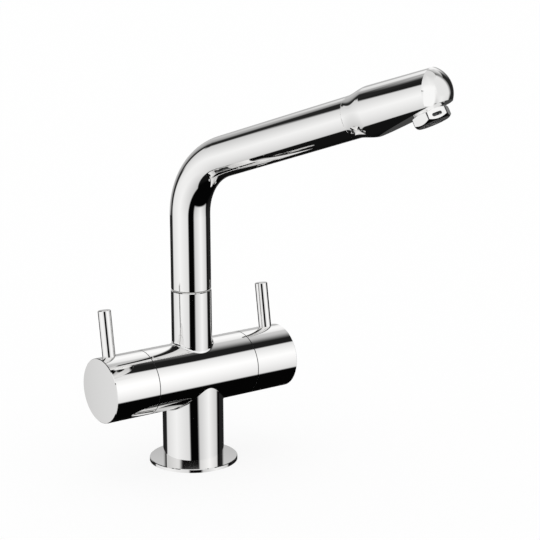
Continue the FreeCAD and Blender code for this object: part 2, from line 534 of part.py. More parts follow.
def valve_and_handle(side, sign):
    """One quarter-turn valve with its handle, at the -X side for hot and the +X side for cold."""
    across = "placement(vector(0; 0; barrel_height); rotationy(%d deg))" % (90 * sign)
    stack = "pocket_start + seat_seal_thick"
    ring(side + "_seat_seal", "seat_seal_bore / 2", "seal_outer / 2", "pocket_start", stack, across)
    fixed = ring(side + "_fixed_disc", "0", "seal_outer / 2", stack, stack + " + disc_thick", across)
    moving = ring(
        side + "_moving_disc", "0", "foot_dia / 2", stack + " + disc_thick", stack + " + disc_thick * 2", across)
    for piece, spots in ((fixed, (("port_offset", "0"), ("-port_offset", "0"))),
                         (moving, (("0", "port_offset"), ("0", "-port_offset")))):
        ports = sketch_on(piece, piece.Label + "_ports", "XY_Plane")
        for x, y in spots:
            circle(ports, x, y, "port_dia")
        feature(piece, "Pocket", piece.Label + "_cut", ports, length="body_half", reverse=True)

    # Bonnet screwed into the body, with a washer under its hexagon and two water windows
    ring(side + "_bonnet_washer", "thread_dia / 2", "nut_flats / 2", "body_half", NUT_LOW, across)
    nut_corner = "nut_flats / 2 / cos(30 deg)"
    bonnet = turned(side + "_bonnet", [
        ("bonnet_bore / 2", "pocket_start + bonnet_lift"), ("bonnet_outer / 2", "pocket_start + bonnet_lift"),
        ("bonnet_outer / 2", THREAD_LOW), ("thread_dia / 2 - fit_gap", THREAD_LOW),
        ("thread_dia / 2 - fit_gap", NUT_LOW),
        (nut_corner, NUT_LOW), (nut_corner, NUT_TOP + " - edge_break * 2"), ("nut_flats / 2", NUT_TOP),
        ("bonnet_neck / 2", NUT_TOP), ("bonnet_neck / 2", NECK_TOP), ("stem_dia / 2 + run_gap", NECK_TOP),
        ("stem_dia / 2 + run_gap", THREAD_LOW + " + bonnet_roof"),
        ("bonnet_bore / 2", THREAD_LOW + " + bonnet_roof")], across)
    nut = sketch_on(
        bonnet, side + "_nut_flats", "XY_Plane", "placement(vector(0; 0; %s); rotationz(0 deg))" % NUT_LOW)
    circle(nut, "0", "0", "nut_flats * 2")
    hexagon(nut, "nut_flats", "hex_turn")
    feature(bonnet, "Pocket", side + "_nut", nut, length="nut_thick", reverse=True)
    window = sketch_on(bonnet, side + "_window_profile", "XZ_Plane")
    outline(window, [
        ("-window_wide / 2", "pocket_start + window_lift"), ("window_wide / 2", "pocket_start + window_lift"),
        ("window_wide / 2", "pocket_start + window_lift + window_high"),
        ("-window_wide / 2", "pocket_start + window_lift + window_high")])
    feature(bonnet, "Pocket", side + "_windows", window, length="bonnet_outer + cut_over * 2", both=True)

    # Spindle with a driving bar at its foot, a seal groove and a groove for the clip
    foot = stack + " + disc_thick * 2"
    clip = NECK_TOP + " + run_gap"
    groove = NECK_TOP + " - stem_groove_drop"
    spindle = turned(side + "_spindle", [
        ("0", foot), ("foot_dia / 2", foot), ("foot_dia / 2", foot + " + foot_thick"),
        ("stem_dia / 2", foot + " + foot_thick"), ("stem_dia / 2", groove),
        ("stem_groove / 2", groove), ("stem_groove / 2", groove + " + stem_groove_wide"),
        ("stem_dia / 2", groove + " + stem_groove_wide"), ("stem_dia / 2", clip), ("clip_groove / 2", clip),
        ("clip_groove / 2", clip + " + clip_thick"), ("stem_dia / 2", clip + " + clip_thick"),
        ("stem_dia / 2", STEM_END), ("0", STEM_END)], across)
    bar = sketch_on(
        spindle, side + "_bar_profile", "XY_Plane", "placement(vector(0; 0; %s); rotationz(0 deg))" % foot)
    for low_y, high_y in (("foot_bar / 2", "foot_dia"), ("-foot_dia", "-foot_bar / 2")):
        outline(bar, [("-foot_dia", low_y), ("foot_dia", low_y), ("foot_dia", high_y), ("-foot_dia", high_y)])
    feature(spindle, "Pocket", side + "_bar", bar, length="foot_thick", reverse=True)
    o_ring(side + "_spindle_o_ring", "stem_groove + ring_gap", "stem_dia + run_gap * 2 - ring_gap * 2",
           groove + " + stem_groove_wide / 2", across)
    clip_body = ring(
        side + "_spindle_clip", "clip_groove / 2 + ring_gap", "clip_outer / 2",
        clip, clip + " + clip_thick", across)
    mouth = sketch_on(clip_body, side + "_clip_mouth", "XY_Plane")
    outline(mouth, [
        ("0", "-clip_groove / 4"), ("clip_outer", "-clip_groove / 4"),
        ("clip_outer", "clip_groove / 4"), ("0", "clip_groove / 4")])
    feature(clip_body, "Pocket", side + "_clip_cut", mouth, length=HANDLE_END, reverse=True)
    ring(side + "_spline_bush", "stem_dia / 2 + fit_gap", "hub_dia / 2 - fit_gap",
         BUSH_LOW, STEM_END, across)

    # Handle barrel over the bonnet, turning on a thin ring that fills the seam
    ring(side + "_glide_ring", "glide_inner / 2", "glide_outer / 2",
         "body_half", "body_half + glide_thick", across)
    near = "body_half + seam_gap"
    handle = turned(side + "_handle", [
        ("hub_dia / 2", HANDLE_FLOOR), ("hub_dia / 2", HUB_END), ("0", HUB_END), ("0", HANDLE_END),
        ("barrel_dia / 2 - edge_break", HANDLE_END), ("barrel_dia / 2", HANDLE_END + " - edge_break"),
        ("barrel_dia / 2", near), ("handle_bore / 2", near), ("handle_bore / 2", HANDLE_FLOOR)], across)
    lever_at = "(%s - lever_inset)" % HANDLE_END
    screw_at = "(%s - screw_inset)" % HANDLE_END
    up = "(%s) * 1 deg" % ("180 - lever_tilt" if sign > 0 else "lever_tilt")
    down = "(%s) * 1 deg" % ("-lever_tilt" if sign > 0 else "180 + lever_tilt")
    for label, angle, start, station, width in (
            ("_thread", up, "lever_root", lever_at, "lever_thread"),
            ("_lever_seat", up, "lever_seat", lever_at, "lever_dia + fit_gap * 2"),
            ("_screw_hole", down, "hub_dia / 4", screw_at, "screw_dia")):
        spot = "vector(cos(%s) * %s; sin(%s) * %s; %s)" % (angle, start, angle, start, station)
        hole = sketch_on(handle, side + label + "_profile", "XY_Plane",
                         "placement(%s; rotationz(%s) * rotationy(90 deg))" % (spot, angle))
        circle(hole, "0", "0", width)
        feature(handle, "Pocket", side + label, hole, length="barrel_dia", reverse=True)
    radial = "placement(vector(%d * %s; 0; barrel_height); rotationx(%s))"
    turned(side + "_lever", [
        ("0", "lever_root"), ("lever_thread / 2 - fit_gap", "lever_root"),
        ("lever_thread / 2 - fit_gap", "lever_seat"), ("lever_dia / 2", "lever_seat"),
        ("lever_dia / 2", "lever_length - edge_break"), ("lever_dia / 2 - edge_break", "lever_length"),
        ("0", "lever_length")], radial % (sign, lever_at, "-lever_tilt * 1 deg"))
    ring(side + "_handle_screw", "0", "screw_dia / 2 - fit_gap", "hub_dia / 2 - fit_gap", "screw_end",
         radial % (sign, screw_at, "180 deg - lever_tilt * 1 deg"))


valve_and_handle("hot", -1)
valve_and_handle("cold", 1)

# Check every object, then write one file per piece
doc.recompute()
os.makedirs("parts", exist_ok=True)
for item in doc.Objects:
    if "Invalid" in item.State or "Error" in item.State:
        raise RuntimeError("not built: " + item.Name)
for item in doc.Objects:
    if item.TypeId == "PartDesign::Body":
        if item.Shape.isNull() or not item.Shape.isValid() or len(item.Shape.Solids) != 1:
            raise RuntimeError("bad shape: " + item.Label)
        item.Shape.exportStep("parts/%s.step" % item.Label)
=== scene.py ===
import json
import math

import bmesh
import bpy
from mathutils import Matrix, Vector


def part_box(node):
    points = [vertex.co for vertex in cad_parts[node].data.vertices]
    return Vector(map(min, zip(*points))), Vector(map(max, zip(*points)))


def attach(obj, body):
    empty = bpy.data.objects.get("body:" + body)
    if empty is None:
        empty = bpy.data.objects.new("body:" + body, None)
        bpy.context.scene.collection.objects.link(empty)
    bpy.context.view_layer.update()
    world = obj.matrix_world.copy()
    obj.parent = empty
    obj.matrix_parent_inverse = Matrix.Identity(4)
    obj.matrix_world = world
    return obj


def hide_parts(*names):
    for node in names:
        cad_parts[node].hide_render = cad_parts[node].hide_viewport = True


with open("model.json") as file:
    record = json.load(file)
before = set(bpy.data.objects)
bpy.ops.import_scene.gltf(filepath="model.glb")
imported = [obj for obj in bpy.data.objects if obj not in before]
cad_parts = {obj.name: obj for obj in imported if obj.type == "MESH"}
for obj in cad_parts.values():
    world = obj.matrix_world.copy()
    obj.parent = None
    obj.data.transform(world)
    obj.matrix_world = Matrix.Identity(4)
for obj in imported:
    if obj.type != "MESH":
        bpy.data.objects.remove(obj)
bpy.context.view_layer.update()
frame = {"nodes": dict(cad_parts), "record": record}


# Body casting: column, cross barrel and spout stub in one piece of brass.
# It is ground and buffed to a mirror, then nickel and chrome plated.
# The two valves screw into its ends and the spout turns in its stub.
CHROME_COLOUR = (0.872, 0.868, 0.862, 1.0)
CHROME_FILM = {"low": 0.012, "high": 0.03, "cloud_scale": 60.0, "wave_scale": 30.0}
CHROME_WAVE = 0.000002
nodes = frame["nodes"]


def place(tree, kind, inputs=None, **settings):
    """Add a node; inputs are numbers, colours or other nodes' outputs, by name or position."""
    item = tree.nodes.new(kind if "Node" in kind else "ShaderNode" + kind)
    for name, value in settings.items():
        setattr(item, name, value)
    for key, value in (inputs or {}).items():
        if isinstance(value, bpy.types.NodeSocket):
            tree.links.new(value, item.inputs[key])
        else:
            item.inputs[key].default_value = value
    return item


def new_group(name, sockets_in, sockets_out):
    """An empty shader node group with numbers in and out; an input of value None is a vector."""
    group = bpy.data.node_groups.new(name, "ShaderNodeTree")
    for label, value in sockets_in.items():
        kind = "NodeSocketVector" if value is None else "NodeSocketFloat"
        socket = group.interface.new_socket(label, in_out="INPUT", socket_type=kind)
        if value is not None:
            socket.default_value = value
    for label in sockets_out:
        group.interface.new_socket(label, in_out="OUTPUT", socket_type="NodeSocketFloat")
    return group, group.nodes.new("NodeGroupInput").outputs, group.nodes.new("NodeGroupOutput").inputs


def new_material(name, **settings):
    """A material with its Principled shader's plain settings filled in."""
    material = bpy.data.materials.new(name)
    material.use_nodes = True
    shader = material.node_tree.nodes["Principled BSDF"]
    for label, value in settings.items():
        shader.inputs[label.replace("_", " ")].default_value = value
    return material, material.node_tree, shader


def dress(material, *names):
    """Give CAD nodes a material."""
    for name in names:
        nodes[name].data.materials.clear()
        nodes[name].data.materials.append(material)


def handling_haze():
    """Faint cloudy film and wipe marks that break up a polished surface."""
    tree, given, put = new_group(
        "handling_haze", {"Vector": None, "Low": 0.01, "High": 0.03, "Cloud Scale": 60.0, "Wave Scale": 25.0},
        ("Roughness", "Height"))
    cloud = place(tree, "TexNoise", {"Vector": given["Vector"], "Scale": given["Cloud Scale"], "Detail": 6.0})
    film = place(tree, "MapRange", {
        "Value": cloud.outputs["Fac"], "From Min": 0.35, "From Max": 0.7,
        "To Min": given["Low"], "To Max": given["High"]})
    wave = place(tree, "TexNoise", {"Vector": given["Vector"], "Scale": given["Wave Scale"], "Detail": 1.0})
    tree.links.new(film.outputs["Result"], put["Roughness"])
    tree.links.new(wave.outputs["Fac"], put["Height"])
    return tree


haze_group = handling_haze()


def place_haze(tree, low, high, cloud_scale, wave_scale):
    """The haze group in one material, on Object coordinates."""
    spot = place(tree, "TexCoord").outputs["Object"]
    return place(tree, "Group", {
        "Vector": spot, "Low": low, "High": high, "Cloud Scale": cloud_scale, "Wave Scale": wave_scale},
        node_tree=haze_group).outputs


def polished(name, colour):
    """Chrome plate with its faint film and the slight waves that buffing leaves."""
    material, tree, shader = new_material(name, Base_Color=colour, Metallic=1.0)
    haze = place_haze(tree, **CHROME_FILM)
    bump = place(tree, "Bump", {"Strength": 1.0, "Distance": CHROME_WAVE, "Height": haze["Height"]})
    tree.links.new(haze["Roughness"], shader.inputs["Roughness"])
    tree.links.new(bump.outputs["Normal"], shader.inputs["Normal"])
    return material


chrome = polished("chrome_plate", CHROME_COLOUR)
dress(chrome, "mixer_body")


# Inlet block: turned brass plug pressed into the foot of the column.
# The two hoses and the fixing stud screw into it from below.
# A flat rubber ring seals each waterway against the casting.
BRASS_COLOUR = (0.62, 0.47, 0.22, 1.0)
# Darker brass for the bottoms of the tool lines: painted shade in the grooves.
BRASS_GROOVE_SHADE = (0.50, 0.36, 0.15, 1.0)
BRASS_PITCH = 0.00035
BRASS_WOBBLE = 0.4
THREAD_PITCH = {"hot_inlet": 0.001, "cold_inlet": 0.001, "fixing_stud": 0.00125}
THREAD_DEPTH = 0.4
RUBBER_COLOUR = (0.022, 0.022, 0.023, 1.0)
RUBBER_GRAIN = {"low": 0.5, "high": 0.75, "scale": 1800.0, "depth": 0.00002}


def reckon(tree, operation, *values):
    """A sum on numbers or other nodes' outputs."""
    return place(tree, "Math", dict(enumerate(values)), operation=operation).outputs[0]


def turning_lines():
    """Fine rings left by a lathe tool, along and across the piece's own Z axis."""
    tree, given, put = new_group(
        "turning_lines", {"Vector": None, "Pitch": 0.0004, "Wobble": 0.3}, ("Height",))
    split = place(tree, "SeparateXYZ", {"Vector": given["Vector"]}).outputs
    squares = [reckon(tree, "POWER", split[axis], 2.0) for axis in ("X", "Y")]
    radius = reckon(tree, "POWER", reckon(tree, "ADD", *squares), 0.5)
    step = reckon(tree, "DIVIDE", reckon(tree, "ADD", radius, split["Z"]), given["Pitch"])
    noise = place(tree, "TexNoise", {"Vector": given["Vector"], "Scale": 400.0, "Detail": 2.0})
    shake = reckon(tree, "MULTIPLY", noise.outputs["Fac"], given["Wobble"])
    ring = reckon(tree, "PINGPONG", reckon(tree, "ADD", step, shake), 1.0)
    tree.links.new(ring, put["Height"])
    return tree


lines_group = turning_lines()


def place_lines(tree, turn, centre, pitch, wobble):
    """The turning lines group in one material, with its Z axis turned and centred on the piece."""
    spot = place(tree, "TexCoord").outputs["Object"]
    mapped = place(tree, "Mapping", {
        "Vector": spot, "Location": centre, "Rotation": turn}, vector_type="TEXTURE")
    return place(tree, "Group", {"Vector": mapped.outputs["Vector"], "Pitch": pitch, "Wobble": wobble},
                 node_tree=lines_group).outputs["Height"]


def turned_brass(name, turn, centre):
    """Brass as it leaves the lathe, with painted shade in the bottoms of the tool lines."""
    material, tree, shader = new_material(name, Metallic=1.0, Roughness=0.28)
    height = place_lines(tree, turn, centre, BRASS_PITCH, BRASS_WOBBLE)
    # The colour darkens toward the tool lines' bottoms: painted shade in the grooves.
    colour = place(tree, "Mix", {"Factor": height, "A": BRASS_GROOVE_SHADE, "B": BRASS_COLOUR}, data_type="RGBA")
    bump = place(tree, "Bump", {"Strength": 0.6, "Distance": 0.00002, "Height": height})
    tree.links.new(colour.outputs[2], shader.inputs["Base Color"])
    tree.links.new(bump.outputs["Normal"], shader.inputs["Normal"])
    return material


upright_brass = turned_brass("upright_brass", (0, 0, 0), (0, 0, 0))
dress(upright_brass, "inlet_block")


def new_rule(name, *sizes):
    """An empty Geometry Nodes tree with named sizes and a material."""
    tree = bpy.data.node_groups.new(name, "GeometryNodeTree")
    for label in sizes:
        tree.interface.new_socket(label, in_out="INPUT", socket_type="NodeSocketFloat")
    tree.interface.new_socket("Material", in_out="INPUT", socket_type="NodeSocketMaterial")
    tree.interface.new_socket("Geometry", in_out="OUTPUT", socket_type="NodeSocketGeometry")
    return tree, tree.nodes.new("NodeGroupInput").outputs, tree.nodes.new("NodeGroupOutput").inputs


def end_rule(tree, given, put, *shapes):
    """Join the shapes of a rule, make them real and give them the material."""
    joined = place(tree, "GeometryNodeJoinGeometry")
    for shape in shapes:
        tree.links.new(shape, joined.inputs[0])
    real = place(tree, "GeometryNodeRealizeInstances", {"Geometry": joined.outputs[0]})
    coated = place(tree, "GeometryNodeSetMaterial", {
        "Geometry": real.outputs[0], "Material": given["Material"]})
    tree.links.new(coated.outputs[0], put["Geometry"])
    return tree


def add_object(name, data):
    """A new object in the scene."""
    item = bpy.data.objects.new(name, data)
    bpy.context.scene.collection.objects.link(item)
    return item


def make_piece(name, rule, material, where, **sizes):
    """Run a rule once with its sizes and keep the plain mesh, set in its place."""
    piece = add_object(name, bpy.data.meshes.new(name))
    modifier = piece.modifiers.new("rule", "NODES")
    modifier.node_group = rule
    given = {label.replace("_", " "): value for label, value in sizes.items()}
    given["Material"] = material
    for item in rule.interface.items_tree:
        if item.in_out == "INPUT":
            modifier[item.identifier] = given[item.name]
    ready = piece.evaluated_get(bpy.context.evaluated_depsgraph_get())
    piece.data = bpy.data.meshes.new_from_object(ready)
    piece.modifiers.clear()
    piece.data.transform(where)
    return piece


def thread_ridge(tree, radius, length, pitch, ridge):
    """One ridge of four-sided section wound round the Z axis."""
    turns = reckon(tree, "DIVIDE", length, pitch)
    path = place(tree, "GeometryNodeCurveSpiral", {
        "Resolution": 40, "Rotations": turns, "Start Radius": radius, "End Radius": radius, "Height": length})
    level = place(tree, "GeometryNodeSetCurveNormal", {"Curve": path.outputs[0]}, mode="Z_UP")
    section = place(tree, "GeometryNodeCurvePrimitiveCircle", {"Resolution": 4, "Radius": ridge})
    return place(tree, "GeometryNodeCurveToMesh", {
        "Curve": level.outputs[0], "Profile Curve": section.outputs[0], "Fill Caps": True}).outputs[0]


def screw_thread():
    """The thread of a tapped hole."""
    tree, given, put = new_rule("screw_thread", "Radius", "Length", "Pitch", "Ridge")
    return end_rule(tree, given, put, thread_ridge(
        tree, given["Radius"], given["Length"], given["Pitch"], given["Ridge"]))


thread_rule = screw_thread()
for mount in frame["record"]["mounts"]:
    if mount["kind"] == "threaded_hole":
        radius = mount["dims"]["r_mm"] / 1000
        depth = mount["dims"]["length_mm"] / 1000
        pitch = THREAD_PITCH[mount["name"]]
        ridge = pitch * THREAD_DEPTH
        foot = Matrix.Translation((mount["pos_m"][0], mount["pos_m"][1], ridge))
        thread = make_piece(mount["name"] + "_thread", thread_rule, upright_brass, foot,
                            Radius=radius, Length=depth - 2 * ridge, Pitch=pitch, Ridge=ridge)
        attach(thread, "tap_body")


def moulded_grain():
    """The fine matt grain that a mould leaves on rubber and plastic."""
    tree, given, put = new_group(
        "moulded_grain", {"Vector": None, "Grain Scale": 1500.0, "Low": 0.5, "High": 0.7},
        ("Roughness", "Height"))
    grain = place(tree, "TexNoise", {"Vector": given["Vector"], "Scale": given["Grain Scale"], "Detail": 3.0})
    rough = place(tree, "MapRange", {
        "Value": grain.outputs["Fac"], "From Min": 0.3, "From Max": 0.7,
        "To Min": given["Low"], "To Max": given["High"]})
    tree.links.new(rough.outputs["Result"], put["Roughness"])
    tree.links.new(grain.outputs["Fac"], put["Height"])
    return tree


grain_group = moulded_grain()


def moulded(name, colour, low, high, scale, depth):
    """A moulded rubber or plastic of one colour with its own grain."""
    material, tree, shader = new_material(name, Base_Color=colour)
    spot = place(tree, "TexCoord").outputs["Object"]
    grain = place(tree, "Group", {
        "Vector": spot, "Grain Scale": scale, "Low": low, "High": high}, node_tree=grain_group).outputs
    bump = place(tree, "Bump", {"Strength": 0.5, "Distance": depth, "Height": grain["Height"]})
    tree.links.new(grain["Roughness"], shader.inputs["Roughness"])
    tree.links.new(bump.outputs["Normal"], shader.inputs["Normal"])
    return material


rubber = moulded("seal_rubber", RUBBER_COLOUR, **RUBBER_GRAIN)
dress(rubber, "hot_inlet_seal", "cold_inlet_seal")


# Base flange: thin turned disc, chrome plated, that covers the hole in the worktop.
# The fixing stud pulls it down between the column and the worktop.
# A rubber gasket lies in the groove of its underside.
dress(chrome, "base_flange")
dress(rubber, "base_gasket")


# Quarter-turn valves: a pair of lapped ceramic discs in a brass headwork at each end of the barrel.
# The inner disc is fixed, the outer one turns with the spindle, and rubber seals both.
# A spring clip keeps the spindle in and a plastic bush takes the handle.
SIDES = ("hot", "cold")
CERAMIC_COLOUR = (0.83, 0.82, 0.77, 1.0)
CERAMIC_FILM = {"low": 0.12, "high": 0.22, "cloud_scale": 300.0, "wave_scale": 200.0}
STEEL_COLOUR = (0.58, 0.58, 0.585, 1.0)
STEEL_FILM = {"low": 0.2, "high": 0.34, "cloud_scale": 500.0, "wave_scale": 300.0}
ACETAL_COLOUR = (0.78, 0.78, 0.76, 1.0)
ACETAL_GRAIN = {"low": 0.35, "high": 0.5, "scale": 900.0, "depth": 0.00001}
BARREL_TURN = (0, math.radians(90), 0)
valve_axis = (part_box("hot_spindle")[0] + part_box("hot_spindle")[1]) / 2
barrel_centre = (0, valve_axis.y, valve_axis.z)

ceramic, tree, shader = new_material("disc_ceramic", Base_Color=CERAMIC_COLOUR, Coat_Weight=0.3)
haze = place_haze(tree, **CERAMIC_FILM)
tree.links.new(haze["Roughness"], shader.inputs["Roughness"])

steel, tree, shader = new_material("stainless_steel", Base_Color=STEEL_COLOUR, Metallic=1.0)
haze = place_haze(tree, **STEEL_FILM)
bump = place(tree, "Bump", {"Strength": 0.4, "Distance": 0.00001, "Height": haze["Height"]})
tree.links.new(haze["Roughness"], shader.inputs["Roughness"])
tree.links.new(bump.outputs["Normal"], shader.inputs["Normal"])

acetal = moulded("white_plastic", ACETAL_COLOUR, **ACETAL_GRAIN)
barrel_brass = turned_brass("barrel_brass", BARREL_TURN, barrel_centre)
for side in SIDES:
    dress(rubber, side + "_seat_seal", side + "_spindle_o_ring")
    dress(ceramic, side + "_fixed_disc", side + "_moving_disc")
    dress(barrel_brass, side + "_bonnet", side + "_spindle")
    dress(acetal, side + "_bonnet_washer", side + "_spline_bush")
    dress(steel, side + "_spindle_clip")


# Handles: hollow chromed barrels that slip over the valves, each with a thin screwed-in lever.
# A dark plastic ring in the seam keeps metal off metal as the handle turns.
# A small grub screw from below holds each handle to its bush.
RING_COLOUR = (0.02, 0.02, 0.022, 1.0)
FINE_GRAIN = {"low": 0.4, "high": 0.6, "scale": 1200.0, "depth": 0.00001}
LEVER_TILT = math.radians(8.5)
GRUB_RADIUS = 0.00195
GRUB_LENGTH = 0.009
GRUB_TIP = 0.0012
GRUB_INNER_END = 0.006
GRUB_PITCH = 0.0007
GRUB_SOCKET = 0.0011
GRUB_SIDES = 48
dress(moulded("ring_plastic", RING_COLOUR, **FINE_GRAIN), "hot_glide_ring", "cold_glide_ring")


def lift(tree, shape, height):
    """A shape moved up along Z."""
    up = place(tree, "CombineXYZ", {"Z": height}).outputs[0]
    return place(tree, "GeometryNodeTransform", {"Geometry": shape, "Translation": up}).outputs[0]


def bar(tree, radius, low, length, sides):
    """A round or six-sided bar standing at a height."""
    solid = place(tree, "GeometryNodeMeshCylinder", {"Vertices": sides, "Radius": radius, "Depth": length})
    return lift(tree, solid.outputs[0], reckon(tree, "ADD", low, reckon(tree, "MULTIPLY", length, 0.5)))


def grub_screw():
    """A headless screw along Z: plain point, threaded shank and six-sided socket in its outer end."""
    tree, given, put = new_rule(
        "grub_screw", "Radius", "Length", "Tip Radius", "Tip Length", "Pitch", "Ridge", "Socket",
        "Socket Depth")
    shank_length = reckon(tree, "SUBTRACT", given["Length"], given["Tip Length"])
    shank_radius = reckon(tree, "SUBTRACT", given["Radius"], given["Ridge"])
    shank = bar(tree, shank_radius, given["Tip Length"], shank_length, GRUB_SIDES)
    socket_floor = reckon(tree, "SUBTRACT", given["Length"], given["Socket Depth"])
    socket = bar(tree, given["Socket"], socket_floor, reckon(tree, "MULTIPLY", given["Socket Depth"], 2.0), 6)
    bored = place(tree, "GeometryNodeMeshBoolean", {
        "Mesh 1": shank, "Mesh 2": socket}, operation="DIFFERENCE").outputs[0]
    tip = bar(tree, given["Tip Radius"], 0.0, given["Tip Length"], GRUB_SIDES)
    plain_ends = reckon(tree, "MULTIPLY", given["Ridge"], 2.0)
    ridge = thread_ridge(tree, shank_radius, reckon(tree, "SUBTRACT", shank_length, plain_ends),
                         given["Pitch"], given["Ridge"])
    wound = lift(tree, ridge, reckon(tree, "ADD", given["Tip Length"], given["Ridge"]))
    return end_rule(tree, given, put, bored, tip, wound)


grub_rule = grub_screw()
for side in SIDES:
    dress(chrome, side + "_handle", side + "_lever")
    low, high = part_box(side + "_handle_screw")
    spot = Vector(((low.x + high.x) / 2, valve_axis.y, valve_axis.z))
    down = Matrix.Rotation(math.pi - LEVER_TILT, 4, "X")
    where = Matrix.Translation(spot) @ down @ Matrix.Translation((0, 0, GRUB_INNER_END))
    screw = make_piece(side + "_grub_screw", grub_rule, steel, where,
                       Radius=GRUB_RADIUS, Length=GRUB_LENGTH, Tip_Radius=GRUB_TIP, Tip_Length=GRUB_TIP,
                       Pitch=GRUB_PITCH, Ridge=GRUB_PITCH * THREAD_DEPTH,
                       Socket=GRUB_SOCKET, Socket_Depth=2 * GRUB_SOCKET)
    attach(screw, side + "_control")
    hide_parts(side + "_handle_screw")


# Swivel: brass spigot with two rubber rings that turns in the stub on a thin plastic washer.
# A grub screw in the back of the stub runs in its groove and keeps it from lifting out.
LOCK_RADIUS = 0.00245
LOCK_TIP = (0.0015, 0.0014)
LOCK_PITCH = 0.0008
LOCK_SOCKET = (0.00144, 0.0016)
dress(turned_brass("spigot_brass", (0, 0, 0), (0, 0, 0)), "spout_spigot")
dress(rubber, "spout_o_ring_lower", "spout_o_ring_upper")
dress(acetal, "spout_thrust_washer")
low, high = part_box("spout_lock_screw")
spot = Vector((0, low.y, (low.z + high.z) / 2))
where = Matrix.Translation(spot) @ Matrix.Rotation(-math.pi / 2, 4, "X")
lock = make_piece("spout_grub_screw", grub_rule, steel, where,
                  Radius=LOCK_RADIUS, Length=high.y - low.y, Tip_Radius=LOCK_TIP[0], Tip_Length=LOCK_TIP[1],
                  Pitch=LOCK_PITCH, Ridge=LOCK_PITCH * THREAD_DEPTH,
                  Socket=LOCK_SOCKET[0], Socket_Depth=LOCK_SOCKET[1])
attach(lock, "tap_body")
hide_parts("spout_lock_screw")


# Spout: drawn brass tube, bent once, buffed and chrome plated.
# A turned sleeve with a rubber ring joins it to the head, flush at a fine seam.
dress(chrome, "spout_tube")
dress(turned_brass("sleeve_brass", (0, 0, 0), (0, 0, 0)), "nozzle_sleeve")
dress(rubber, "nozzle_o_ring")


# Head: thicker end of the spout, turned from brass, buffed and chrome plated.
# It swells from a flush seam, tapers to a ball-shaped end and has a sloping flat below for the aerator.
# It is bored for the sleeve and the water, and tapped square to the flat.
SPOUT_SWING = math.radians(15.5)
SPOUT_RISE = math.radians(18.5)
SPOUT_CORNER = 0.211
SEAM_REACH = 0.1463
SEAM_RADIUS = 0.014
SEAM_BREAK = 0.0003
FLARE_LENGTH = 0.0167
HEAD_RADIUS = 0.0166
TIP_RADIUS = 0.0153
TIP_LENGTH = 0.0743
BALL_RADIUS = 0.0172
BALL_CENTRE = Vector((0, 0.0011, TIP_LENGTH - BALL_RADIUS))
FLAT_MIDDLE = Vector((0, -0.0094, 0.0562))
FLAT_SLOPE = math.radians(10)
SLEEVE_BORE = (0.0125, 0.016)
WATER_BORE = (0.007, 0.058)
SEAT_BORE = (0.0091, 0.0075)
CUT_OVER = 0.02
CUT_REACH = 0.1
FLARE_STEPS = 40
BALL_STEPS = 64
ROUND_STEPS = 192
SURFACE_SLACK = 0.00003
head_frame = (Matrix.Rotation(SPOUT_SWING, 4, "Z")
              @ Matrix.Translation((0, -SEAM_REACH * math.cos(SPOUT_RISE),
                                    SPOUT_CORNER + SEAM_REACH * math.sin(SPOUT_RISE)))
              @ Matrix.Rotation(math.pi / 2 - SPOUT_RISE, 4, "X"))
flat_frame = Matrix.Translation(FLAT_MIDDLE) @ Matrix.Rotation(-math.pi / 2 - FLAT_SLOPE, 4, "X")


def head_outline(along):
    """The head's radius and its slope at a distance from the seam."""
    if along < FLARE_LENGTH:
        share = (along - SEAM_BREAK) / (FLARE_LENGTH - SEAM_BREAK)
        swell = HEAD_RADIUS - SEAM_RADIUS
        return (SEAM_RADIUS + swell * share * share * (3 - 2 * share),
                swell * 6 * share * (1 - share) / (FLARE_LENGTH - SEAM_BREAK))
    slope = (TIP_RADIUS - HEAD_RADIUS) / (TIP_LENGTH - FLARE_LENGTH)
    return HEAD_RADIUS + slope * (along - FLARE_LENGTH), slope


def keep_shape(name, shape):
    """Turn a loose shape's faces outwards and make it an object."""
    bmesh.ops.recalc_face_normals(shape, faces=shape.faces)
    mesh = bpy.data.meshes.new(name)
    shape.to_mesh(mesh)
    shape.free()
    return add_object(name, mesh)


def turned_solid(name, profile, where):
    """A closed solid turned about Z from radii and heights, from pole to pole."""
    shape = bmesh.new()
    turns = [2 * math.pi * step / ROUND_STEPS for step in range(ROUND_STEPS)]
    rows = []
    for radius, height in profile:
        if radius == 0:
            rows.append([shape.verts.new(where @ Vector((0, 0, height)))] * ROUND_STEPS)
        else:
            rows.append([shape.verts.new(where @ Vector((
                radius * math.cos(turn), radius * math.sin(turn), height))) for turn in turns])
    for low, high in zip(rows, rows[1:]):
        for step in range(ROUND_STEPS):
            after = (step + 1) % ROUND_STEPS
            corners = dict.fromkeys((low[step], low[after], high[after], high[step]))
            shape.faces.new(corners)
    return keep_shape(name, shape)


def cut_away(solid, *cutters):
    """Cut solids out of a solid and remove the cutters."""
    for cutter in cutters:
        cut = solid.modifiers.new(cutter.name, "BOOLEAN")
        cut.operation = "DIFFERENCE"
        cut.solver = "EXACT"
        cut.object = cutter
    solid.data = bpy.data.meshes.new_from_object(solid.evaluated_get(bpy.context.evaluated_depsgraph_get()))
    solid.modifiers.clear()
    for cutter in cutters:
        bpy.data.objects.remove(cutter)


def head_normal(middle, spot, plain):
    """The true surface direction at a corner of a face, from the form that the face lies on."""
    from_ball = middle - BALL_CENTRE
    if middle.z > BALL_CENTRE.z and abs(from_ball.length - BALL_RADIUS) < SURFACE_SLACK:
        return (spot - BALL_CENTRE).normalized()
    if middle.z > SEAM_BREAK and abs(middle.xy.length - head_outline(middle.z)[0]) < SURFACE_SLACK:
        slope = head_outline(max(spot.z, SEAM_BREAK))[1]
        return Vector((spot.x, spot.y, -slope * spot.xy.length)).normalized()
    return plain


